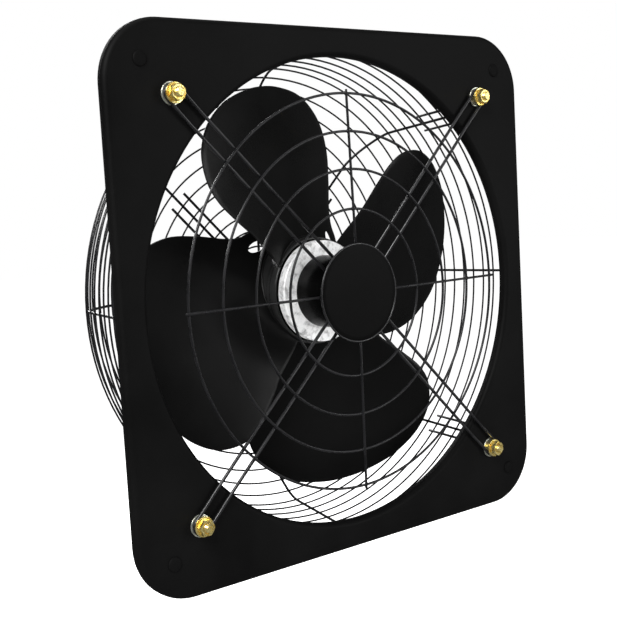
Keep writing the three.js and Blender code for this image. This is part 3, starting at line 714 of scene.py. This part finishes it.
for corner, degrees in CORNERS:
    stations = [
        (ARM_INNER, ARM_Y_INNER), (ARM_BEND, ARM_Y_OUTER), (ARM_BEND + 8, ARM_Y_BOLT),
        (BOLT_RING, ARM_Y_BOLT),
    ]
    there, loop, back = hairpin(degrees, ARM_GAP, stations, ARM_Y_BOLT)
    line = smooth_line(there, 5) + loop + smooth_line(back, 5)
    made(f"arm_{corner}", wire_along(line, ARM_WIRE, 16), "arm_black", "frame",
         [f"motor_arm_{corner}"], sharp=60)

# ------------------------------------------------------------------ front guard


def ring_y(radius):
    return arm_y(radius) - ARM_WIRE / 2 - TOUCH - GUARD_WIRE / 2


def spoke_y(radius):
    return ring_y(radius) - GUARD_WIRE + 0.7


guard = Form()
seed = 0
for radius in GUARD_RINGS:
    guard.add(wire_ring(radius, ring_y(radius), GUARD_WIRE, 160, 14))
    for degrees in (0, 90, 180, 270):
        seed += 1
        at = on_radius(degrees, radius, 0, (ring_y(radius) + spoke_y(radius)) / 2)
        direction = on_radius(degrees, 1, 0, 0)
        guard.add(nugget(at, *GUARD_NUGGET, direction, seed))
for degrees in (0, 90, 180, 270):
    reach = (SPOKE_INNER, *GUARD_RINGS, GUARD_RINGS[-1] + 3)
    guard.add(wire_along([on_radius(degrees, r, 0, spoke_y(r)) for r in reach], GUARD_WIRE, 14))
made("guard_wires", guard, "wire_black", "frame", ["front_guard"], sharp=60)

disc_rear = spoke_y(SPOKE_INNER) - GUARD_WIRE / 2 - TOUCH
front = disc_rear - DISC_THICK
disc_profile = rounded([
    (0, front), (DISC - 5, front), (DISC - 1.2, front + 0.5), (DISC, front + 1.2),
    (DISC, disc_rear), (DISC - 1.2, disc_rear), (DISC - 1.6, disc_rear - 0.2), (0, disc_rear),
], 0.6, 4)
made("guard_disc", turned_about_axis(disc_profile, 128), "disc_black", "frame",
     ["guard_centre_disc"], sharp=50)
inset = DISC_RIM_WIRE / 2
made("guard_disc_rim", wire_ring(DISC - inset, front + inset, DISC_RIM_WIRE, 128, 12),
     "arm_black", "frame", sharp=60)

# ------------------------------------------------------------------ fasteners


def hex_form(flats, y0, y1, bore, chamfer_front=True, chamfer_rear=True, segments=72):
    """A hexagon with curved chamfers and a bore, or a closed face where bore is 0."""
    face = flats / 2 * 0.95
    rows = []

    def side(i, y, turn):
        a = TAU * i / segments
        flat = flats / 2 / math.cos((a % (TAU / 6)) - TAU / 12)
        drop = max(flat - face, 0) * math.tan(math.radians(30)) if turn else 0.15
        return (flat * math.cos(a), y + drop * (turn or 1), flat * math.sin(a))

    def ring(radius, y):
        return [
            (radius * math.cos(TAU * i / segments), y, radius * math.sin(TAU * i / segments))
            for i in range(segments)
        ]

    if bore:
        rows.append(ring(bore, (y0 + y1) / 2))
        rows.append(ring(bore, y0 + 0.8))
        rows.append(ring(bore + 0.8, y0))
    else:
        rows.append(ring(0, y0))
    rows.append(ring(face, y0))
    rows.append([side(i, y0, 1 if chamfer_front else 0) for i in range(segments)])
    rows.append([side(i, y1, -1 if chamfer_rear else 0) for i in range(segments)])
    rows.append(ring(face, y1))
    if bore:
        rows.append(ring(bore + 0.8, y1))
        rows.append(ring(bore, y1 - 0.8))
    else:
        rows.append(ring(0, y1))
    return Form().grid(rows, wrap_rows=bool(bore), wrap_columns=True)


def threaded(radius, y0, y1, pitch, depth, chamfer, segments=40):
    """A threaded rod from y0 to y1 with chamfered ends."""
    steps = max(int((y1 - y0) / pitch * 8), 8)
    rows = [[(0, y0, 0)] * segments]
    for k in range(steps + 1):
        y = y0 + (y1 - y0) * k / steps
        limit = radius - max(0, chamfer - (y - y0)) - max(0, chamfer - (y1 - y))
        row = []
        for i in range(segments):
            a = TAU * i / segments
            wave = (y / pitch + i / segments) % 1
            cut = depth * abs(2 * wave - 1)
            r = min(radius - cut, limit)
            row.append((r * math.cos(a), y, r * math.sin(a)))
        rows.append(row)
    rows.append([(0, y1, 0)] * segments)
    return Form().grid(rows, wrap_columns=True)


def washer_form(inner, outer, y0, y1, segments=64):
    profile = [(inner, y0), (outer, y0), (outer, y1), (inner, y1)]
    loop = []
    for i, here in enumerate(profile):
        before, after = profile[i - 1], profile[(i + 1) % 4]
        loop.extend(rounded([before, here, after], 0.35, 3)[1:-1])
    return turned_about_axis(loop, segments, closed=True)


washer_rear = ARM_Y_BOLT - ARM_WIRE / 2 - TOUCH
washer_front = washer_rear - NUT_WASHER_THICK
nut_rear = washer_front - 0.1
nut_front = nut_rear - NUT_HEIGHT
bolt_tip = nut_front - 3
foot_y = SHEET + 1 + BASKET_SPOKE_WIRE / 2
rear_washer = foot_y + BASKET_SPOKE_WIRE / 2 + 0.6
head_y = rear_washer + 1.3

for (corner, degrees), bolt_turn in zip(CORNERS, BOLT_TURNS):
    x, _, z = on_radius(degrees, BOLT_RING, 0, 0)
    twist = Matrix.Rotation(math.radians(bolt_turn), 3, "Y")
    bolt = threaded(BOLT, bolt_tip, head_y + 1, BOLT_PITCH, 0.55, 0.9)
    bolt.add(hex_form(NUT_FLATS, head_y, head_y + HEAD_HEIGHT, 0, False, True))
    made(f"corner_bolt_{corner}", bolt.turned(twist).moved(x, 0, z), "yellow_zinc", "frame",
         [f"bolt_{corner}"], sharp=28)
    nut = hex_form(NUT_FLATS, nut_front, nut_rear, BOLT - 0.3).turned(twist).moved(x, 0, z)
    made(f"corner_nut_{corner}", nut, "yellow_zinc", "frame", [f"nut_{corner}"], sharp=28)
    front_washer = washer_form(WASHER_BORE, NUT_WASHER, washer_front, washer_rear).moved(x, 0, z)
    made(f"corner_washer_{corner}", front_washer, "yellow_zinc", "frame",
         [f"nut_washer_{corner}"], sharp=50)
    thin = washer_form(WASHER_BORE, PANEL_WASHER, *PANEL_WASHER_Y).moved(x, 0, z)
    made(f"seat_washer_{corner}", thin, "clear_zinc", "frame", [f"panel_washer_{corner}"],
         sharp=50)
    rear_y = (rear_washer, rear_washer + REAR_WASHER_THICK)
    rear = washer_form(WASHER_BORE, NUT_WASHER, *rear_y).moved(x, 0, z)
    made(f"back_washer_{corner}", rear, "clear_zinc", "frame", [f"rear_washer_{corner}"],
         sharp=50)

# ------------------------------------------------------------------ rear basket

basket = Form()
rings = [*BASKET_SIDE, *BASKET_SLOPE, *((r, BASKET_FLAT_Y) for r in BASKET_FLAT)]
for radius, y in rings:
    basket.add(wire_ring(radius, y, BASKET_RING_WIRE, 120 if radius > 100 else 72, 8))
sunk = (BASKET_RING_WIRE + BASKET_SPOKE_WIRE) / 2 - 0.5


def inside(ring, tilt):
    """A spoke's point against the inside of a ring, tilt 0 on the side and 1 on the back."""
    radius, y = ring
    return radius - sunk * math.cos(tilt * math.pi / 2), y - sunk * math.sin(tilt * math.pi / 2)


path = [(BASKET_FLAT[-1] - 3, BASKET_FLAT_Y - sunk), inside((BASKET_FLAT[0], BASKET_FLAT_Y), 1)]
path += [inside(ring, 0.55) for ring in reversed(BASKET_SLOPE)]
path += [inside(BASKET_SIDE[-1], 0.25), inside(BASKET_SIDE[0], 0.1)]
path.append((BASKET_SIDE[0][0] - sunk + 0.2, BASKET_SIDE[0][1] - 3))
for degrees in range(0, 360, 45):
    line = smooth_line([on_radius(degrees, r, 0, y) for r, y in path], 7, 5)
    basket.add(wire_along(line, BASKET_SPOKE_WIRE, 10))
for corner, degrees in CORNERS:
    top_r, top_y = BASKET_SIDE[0]
    turn_r = top_r - sunk
    stations = [
        (BASKET_SIDE[3][0] - sunk, BASKET_SIDE[3][1] + 4), (turn_r, top_y),
        (turn_r + 1, foot_y + 4), (turn_r + 6, foot_y), (BOLT_RING, foot_y),
    ]
    there, loop, back = hairpin(degrees, BASKET_FOOT_GAP, stations, foot_y)
    line = smooth_line(there, 6) + loop + smooth_line(back, 6)
    basket.add(wire_along(line, BASKET_SPOKE_WIRE, 10))
    for aside in (-BASKET_STAY_GAP, BASKET_STAY_GAP):
        ends = [on_radius(degrees, along, aside, BASKET_FLAT_Y - sunk) for along in BASKET_STAY]
        basket.add(wire_along(ends, BASKET_SPOKE_WIRE, 10))
made("basket_wires", basket, "wire_black", "frame", ["rear_basket"], sharp=60)

# ------------------------------------------------------------------ motor

plate_front = ARM_Y_INNER + ARM_WIRE / 2 + TOUCH
plate_rear = plate_front + 2.6
bell_front = plate_rear + 0.1
plate_profile = rounded([
    (0, plate_front), (MOTOR_PLATE, plate_front), (MOTOR_PLATE, plate_rear), (0, plate_rear),
], 0.5, 3)
made("motor_face_plate", turned_about_axis(plate_profile, 96), "disc_black", "frame",
     ["motor_plate"], sharp=50)

seat, seat_outside = BEARING_SEAT
bell_rear = STATOR_Y[0] - 0.1
bell = rounded([
    (0, bell_front), (FRONT_BELL - 10, bell_front), (FRONT_BELL - 4.5, bell_front + 1.8),
    (FRONT_BELL - 1.6, bell_front + 5.2), (FRONT_BELL - 0.6, bell_front + 10),
    (FRONT_BELL, bell_rear - 3.8), (FRONT_BELL, bell_rear), (FRONT_BELL - 3, bell_rear),
], 1.6, 5)
bell += rounded([
    (FRONT_BELL - 3, bell_rear), (FRONT_BELL - 3, bell_front + 10),
    (FRONT_BELL - 7, bell_front + 4), (seat_outside, bell_front + 3.2),
    (seat_outside, FRONT_SEAT_END), (seat, FRONT_SEAT_END), (seat, bell_front + 2.2),
    (0, bell_front + 2.2),
], 0.4, 3)[1:]
made("motor_bell_front", turned_about_axis(bell, 128), "bell_black", "frame",
     ["motor_front_bell"], sharp=50)

rear_bell_front = STATOR_Y[1] + 0.1
rear_bell = rounded([
    (REAR_BELL - 3.5, rear_bell_front), (REAR_BELL, rear_bell_front),
    (REAR_BELL, REAR_BELL_END - 9), (REAR_BELL - 2, REAR_BELL_END - 4),
    (REAR_BELL - 6, REAR_BELL_END - 1), (REAR_BELL - 11, REAR_BELL_END),
    (SHAFT + 1.5, REAR_BELL_END),
], 1.6, 5)
rear_bell += rounded([
    (SHAFT + 1.5, REAR_BELL_END), (SHAFT + 1.5, REAR_BELL_END - 2), (seat, REAR_BELL_END - 2),
    (seat, REAR_SEAT_START), (seat_outside, REAR_SEAT_START), (seat_outside, REAR_BELL_END - 3),
    (REAR_BELL - 9, REAR_BELL_END - 3), (REAR_BELL - 4, REAR_BELL_END - 8),
    (REAR_BELL - 3.5, REAR_BELL_END - 12),
], 0.4, 3)[1:]
rear_bell_form = turned_about_axis(rear_bell, 128, closed=True)
made("motor_bell_rear", rear_bell_form, "motor_black", "frame", ["motor_rear_bell"], sharp=50)

stator_front, stator_rear = STATOR_Y
stator = rounded([
    (STATOR_BORE, stator_front), (STATOR - 0.6, stator_front), (STATOR, stator_front + 0.6),
    (STATOR, stator_rear - 0.5), (STATOR - 0.6, stator_rear), (STATOR_BORE, stator_rear),
], 0.3, 3)
made("stator_ring", turned_about_axis(stator, 160, closed=True), "lamination_steel", "frame",
     ["stator_core"], sharp=40)

for i in range(4):
    x, _, z = on_radius(90 * i, PLATE_SCREW_CIRCLE, 0, 0)
    head = rounded([
        (0, plate_front - 2.0), (1.6, plate_front - 2.0), (1.9, plate_front - 2.9),
        (PLATE_SCREW_HEAD - 0.8, plate_front - 2.6), (PLATE_SCREW_HEAD, plate_front - 1.4),
        (PLATE_SCREW_HEAD, plate_front - 0.1), (0, plate_front - 0.1),
    ], 0.4, 3)
    screw = turned_about_axis(head, 48).moved(x, 0, z)
    made(f"plate_screw_head_{i + 1}", screw, "clear_zinc", "frame", [f"plate_screw_{i + 1}"],
         sharp=40)

gland = rounded([
    (0, 33.5), (6, 33.5), (6, 36.5), (5.2, 37), (4.8, 41.2), (3.3, 41.7), (3.2, 38), (0, 38),
], 0.5, 3)
onto_x = Matrix.Rotation(-math.pi / 2, 3, "Z")
gland_form = turned_about_axis(gland, 40)
gland_form.turned(Matrix.Rotation(math.radians(GLAND_DEGREES), 3, "Y") @ onto_x)
made("gland_body", gland_form.moved(0, GLAND_Y, 0), "rubber_black", "frame", ["cable_gland"],
     sharp=40)

# ------------------------------------------------------------------ rotor

hub = arc((HUB - 1, HUB_FRONT + 1), 1.0, 180, 360, 8)
hub += [(HUB, HUB_FRONT + 4), (HUB, HUB_REAR - 6)]
hub += arc((HUB - 6, HUB_REAR - 6), 6, 0, 90, 10)
hub += [(30, HUB_REAR), (12.5, HUB_REAR), (HUB_BORE, HUB_REAR), (HUB_BORE, HUB_REAR - HUB_WALL)]
hub += [(HUB - 6, HUB_REAR - HUB_WALL)]
hub += arc((HUB - 6, HUB_REAR - 6), 4, 90, 0, 8)
hub += [(HUB - HUB_WALL, HUB_REAR - 10)]
made("hub_cup", turned_about_axis(hub, 192, closed=True), "drum_black", "rotor", ["fan_hub"],
     sharp=50)

boss_nose, boss_step, boss_rear = BOSS_Y
boss = rounded([
    (SHAFT + 0.1, boss_nose), (SHAFT + 2, boss_nose), (SHAFT + 2, boss_step), (BOSS, boss_step),
    (BOSS, boss_rear), (SHAFT + 0.1, boss_rear), (SHAFT + 0.1, boss_nose),
], 0.5, 3)
made("boss_turned", turned_about_axis(boss, 72), "bare_steel", "rotor", ["hub_boss"], sharp=40)

grub = rounded([
    (0, 6.5), (2, 6.5), (2, 14.2), (1.6, 14.5), (1.1, 14.5), (1.1, 12.5), (0, 12.5),
], 0.2, 2)
grub_form = turned_about_axis(grub, 24).turned(onto_x).moved(0, GRUB_SCREW_Y, 0)
made("boss_grub_screw", grub_form, "bare_steel", "rotor", ["hub_set_screw"], sharp=40)

shaft_front, thread_start, shaft_rear = SHAFT_Y
plain = rounded([
    (0, shaft_front), (SHAFT, shaft_front), (SHAFT, thread_start + 2), (0, thread_start + 2),
], 0.5, 3)
shaft = turned_about_axis(plain, 64)
shaft.add(threaded(SHAFT, thread_start, shaft_rear, 1.5, 0.6, 1.0, 56))
made("shaft_turned", shaft, "bare_steel", "rotor", ["motor_shaft"], sharp=35)
made("shaft_plain_washer", washer_form(SHAFT + 0.3, SHAFT_WASHER, *SHAFT_WASHER_Y), "bare_steel",
     "rotor", ["shaft_washer"], sharp=50)
made("shaft_hex_nut", hex_form(SHAFT_NUT_FLATS, *SHAFT_NUT_Y, SHAFT - 0.3), "bare_steel", "rotor",
     ["shaft_nut"], sharp=28)


def spline(points, t):
    """Smooth line through the points, t from 0 to 1."""
    at = (len(points) - 1) * t
    i = min(int(at), len(points) - 2)
    w = at - i
    p0 = Vector(points[max(i - 1, 0)])
    p1, p2 = Vector(points[i]), Vector(points[i + 1])
    p3 = Vector(points[min(i + 2, len(points) - 1)])
    v0, v1 = (p2 - p0) / 2, (p3 - p1) / 2
    return ((2 * p1 - 2 * p2 + v0 + v1) * w ** 3 + (-3 * p1 + 3 * p2 - 2 * v0 - v1) * w ** 2
            + v0 * w + p1)


def on_blade(lead, trail, across, lift):
    """Bends a point of the flat blade to its pitch and camber, lift above the sheet's middle."""
    flat = lead.lerp(trail, across)
    share = min(max((flat.x - BLADE_ROOT) / (BLADE_TIP - BLADE_ROOT), 0), 1)
    pitch = math.radians(BLADE_PITCH[0] + (BLADE_PITCH[1] - BLADE_PITCH[0]) * share)
    camber = BLADE_CAMBER * ((trail - lead).length / BLADE_WIDTH) ** 2
    crown = lift - camber * (1 - (2 * across - 1) ** 2)
    side = flat.y * math.cos(pitch) - crown * math.sin(pitch)
    y = BLADE_MID_Y - flat.y * math.sin(pitch) + crown * math.cos(pitch)
    return (flat.x, y, side)


def blade_form(rows=72, columns=26):
    """The sheet-metal blade, its edges rounded through the sheet's thickness."""
    loops = []
    for i in range(rows + 1):
        t = min(i / rows, 0.997)
        lead, trail = spline(LEADING_EDGE, t), spline(TRAILING_EDGE, t)
        width = max((trail - lead).length, 1)
        edge = min(0.8 / width, 0.2)
        across = [edge * s for s in (0, 0.1, 0.4)]
        across += [edge + (1 - 2 * edge) * k / columns for k in range(columns + 1)]
        across += [1 - edge * s for s in (0.4, 0.1, 0)]
        end = min(1.0, (1 - t) * 30)
        front, rear = [], []
        for share in across:
            near = min(share, 1 - share) / edge
            thick = BLADE_THICK / 2 * math.sqrt(max(1 - (1 - min(near, 1)) ** 2, 0.0))
            thick *= math.sqrt(1 - (1 - end) ** 2)
            front.append(on_blade(lead, trail, share, -thick))
            rear.append(on_blade(lead, trail, share, thick))
        loops.append(front + rear[-2:0:-1])
    form = Form().grid(loops, wrap_columns=True)
    form.cap(list(reversed(loops[0])))
    form.cap(loops[-1])
    return form


def root_line(lift):
    """Where the blade's face meets the hub's wall."""
    line = []
    for k in range(41):
        share = k / 40
        for i in range(400):
            t = i / 400
            lead, trail = spline(LEADING_EDGE, t), spline(TRAILING_EDGE, t)
            x, y, z = on_blade(lead, trail, share, lift)
            if math.hypot(x, z) >= HUB:
                line.append((x, y, z))
                break
    return line


for i in range(4):
    turn = Matrix.Rotation(-math.radians(BLADE_FIRST + 90 * i), 3, "Y")
    piece = made(f"blade_{i + 1}", blade_form().turned(turn), "blade_black", "rotor",
                 [f"fan_blade_{i + 1}"], sharp=40)
    along, aside, length, width = BLADE_SLOT
    slot = rod_form(1, *BLADE_CUT_Y, 40).turned(Matrix.Diagonal((length / 2, 1, width / 2)))
    room = rod_form(HUB - 0.8, *BLADE_CUT_Y, 144).turned(Matrix.Rotation(0.01, 3, "Y"))
    carved(piece, slot.moved(along, 0, aside).turned(turn), 40)
    carved(piece, room, 40)
    bead = Form()
    for lift in (-BLADE_WELD_LIFT, BLADE_WELD_LIFT):
        bead.add(wire_along(root_line(lift), BLADE_WELD, 8))
    made(f"blade_weld_{i + 1}", bead.turned(turn), "blade_black", "rotor", sharp=70)

# ------------------------------------------------------------------ stage, lights, camera

FLOOR_GLOW = 0.9
WORLD_LIGHT = 0.17
FLOOR_HALF = 12  # this and the next three are in metres
FLOOR_Z = -0.75
CAMERA_AT = (-0.66826, -0.78054, 0.09338)
CAMERA_CLIP = (0.05, 60)
CAMERA_TURN = (38.37, -5.91, -3.21)  # yaw, pitch and roll in degrees
CAMERA_LENS = 65.27


def stage_floor():
    """A pale floor, lit a little by itself so that it stays clean under the fan."""
    material, tree, shader, place = new_material("pale_floor")
    tone = ramp(tree, noise_of(tree, place, 3, 2), (0.3, 0.90), (0.7, 0.93))
    tree.links.new(tone, shader.inputs["Base Color"])
    shader.inputs["Roughness"].default_value = 0.9
    shader.inputs["Specular IOR Level"].default_value = 0.1
    shader.inputs["Emission Color"].default_value = (1, 1, 1, 1)
    shader.inputs["Emission Strength"].default_value = FLOOR_GLOW
    mesh = bpy.data.meshes.new("floor")
    corners = [(x * FLOOR_HALF, y * FLOOR_HALF, FLOOR_Z) for x, y in (
        (-1, -1), (1, -1), (1, 1), (-1, 1))]
    mesh.from_pydata(corners, [], [(0, 1, 2, 3)])
    mesh.materials.append(material)
    floor = bpy.data.objects.new("floor", mesh)
    bpy.context.scene.collection.objects.link(floor)
    floor.visible_glossy = False


def world_light():
    """White to the camera, dim to everything else, so black paint stays black."""
    world = bpy.data.worlds.new("studio")
    bpy.context.scene.world = world
    world.use_nodes = True
    tree = world.node_tree
    tree.nodes.clear()
    out = tree.nodes.new("ShaderNodeOutputWorld")
    mix = tree.nodes.new("ShaderNodeMixShader")
    seen = tree.nodes.new("ShaderNodeBackground")
    lit = tree.nodes.new("ShaderNodeBackground")
    path_node = tree.nodes.new("ShaderNodeLightPath")
    seen.inputs["Color"].default_value = (1, 1, 1, 1)
    lit.inputs["Color"].default_value = (1, 1, 1, 1)
    lit.inputs["Strength"].default_value = WORLD_LIGHT
    tree.links.new(path_node.outputs["Is Camera Ray"], mix.inputs[0])
    tree.links.new(lit.outputs[0], mix.inputs[1])
    tree.links.new(seen.outputs[0], mix.inputs[2])
    tree.links.new(mix.outputs[0], out.inputs[0])


def softbox(name, at, aim, wide, tall, power):
    data = bpy.data.lights.new(name, "AREA")
    data.shape = "RECTANGLE"
    data.size, data.size_y = wide, tall
    data.energy = power
    light = bpy.data.objects.new(name, data)
    light.location = at
    light.rotation_mode = "QUATERNION"
    light.rotation_quaternion = (Vector(aim) - Vector(at)).to_track_quat("-Z", "Y")
    bpy.context.scene.collection.objects.link(light)


def place_camera():
    yaw, pitch, roll = (math.radians(a) for a in CAMERA_TURN)
    ahead = Vector((
        math.sin(yaw) * math.cos(pitch), math.cos(yaw) * math.cos(pitch), math.sin(pitch)))
    level = Vector((math.cos(yaw), -math.sin(yaw), 0))
    above = level.cross(ahead)
    right = level * math.cos(roll) + above * math.sin(roll)
    up = above * math.cos(roll) - level * math.sin(roll)
    data = bpy.data.cameras.new("camera")
    data.sensor_width = 36
    data.lens = CAMERA_LENS
    data.clip_start, data.clip_end = CAMERA_CLIP
    camera = bpy.data.objects.new("camera", data)
    axes = Matrix((right, up, -ahead)).transposed().to_4x4()
    camera.matrix_world = Matrix.Translation(CAMERA_AT) @ axes
    bpy.context.scene.collection.objects.link(camera)
    bpy.context.scene.camera = camera


stage_floor()
world_light()
softbox("key", (-1.9, -1.2, 1.7), (0, 0, 0), 1.4, 1.4, 110)
softbox("top", (0.2, 0.2, 2.2), (0, 0, 0), 1.6, 1.2, 12)
softbox("side", (1.7, -2.0, 0.4), (0, 0, 0), 0.6, 1.6, 18)
softbox("back", (0.3, 2.4, 0.9), (0, 0.05, 0), 1.6, 1.2, 60)
place_camera()
bpy.context.scene.view_settings.view_transform = "Standard"
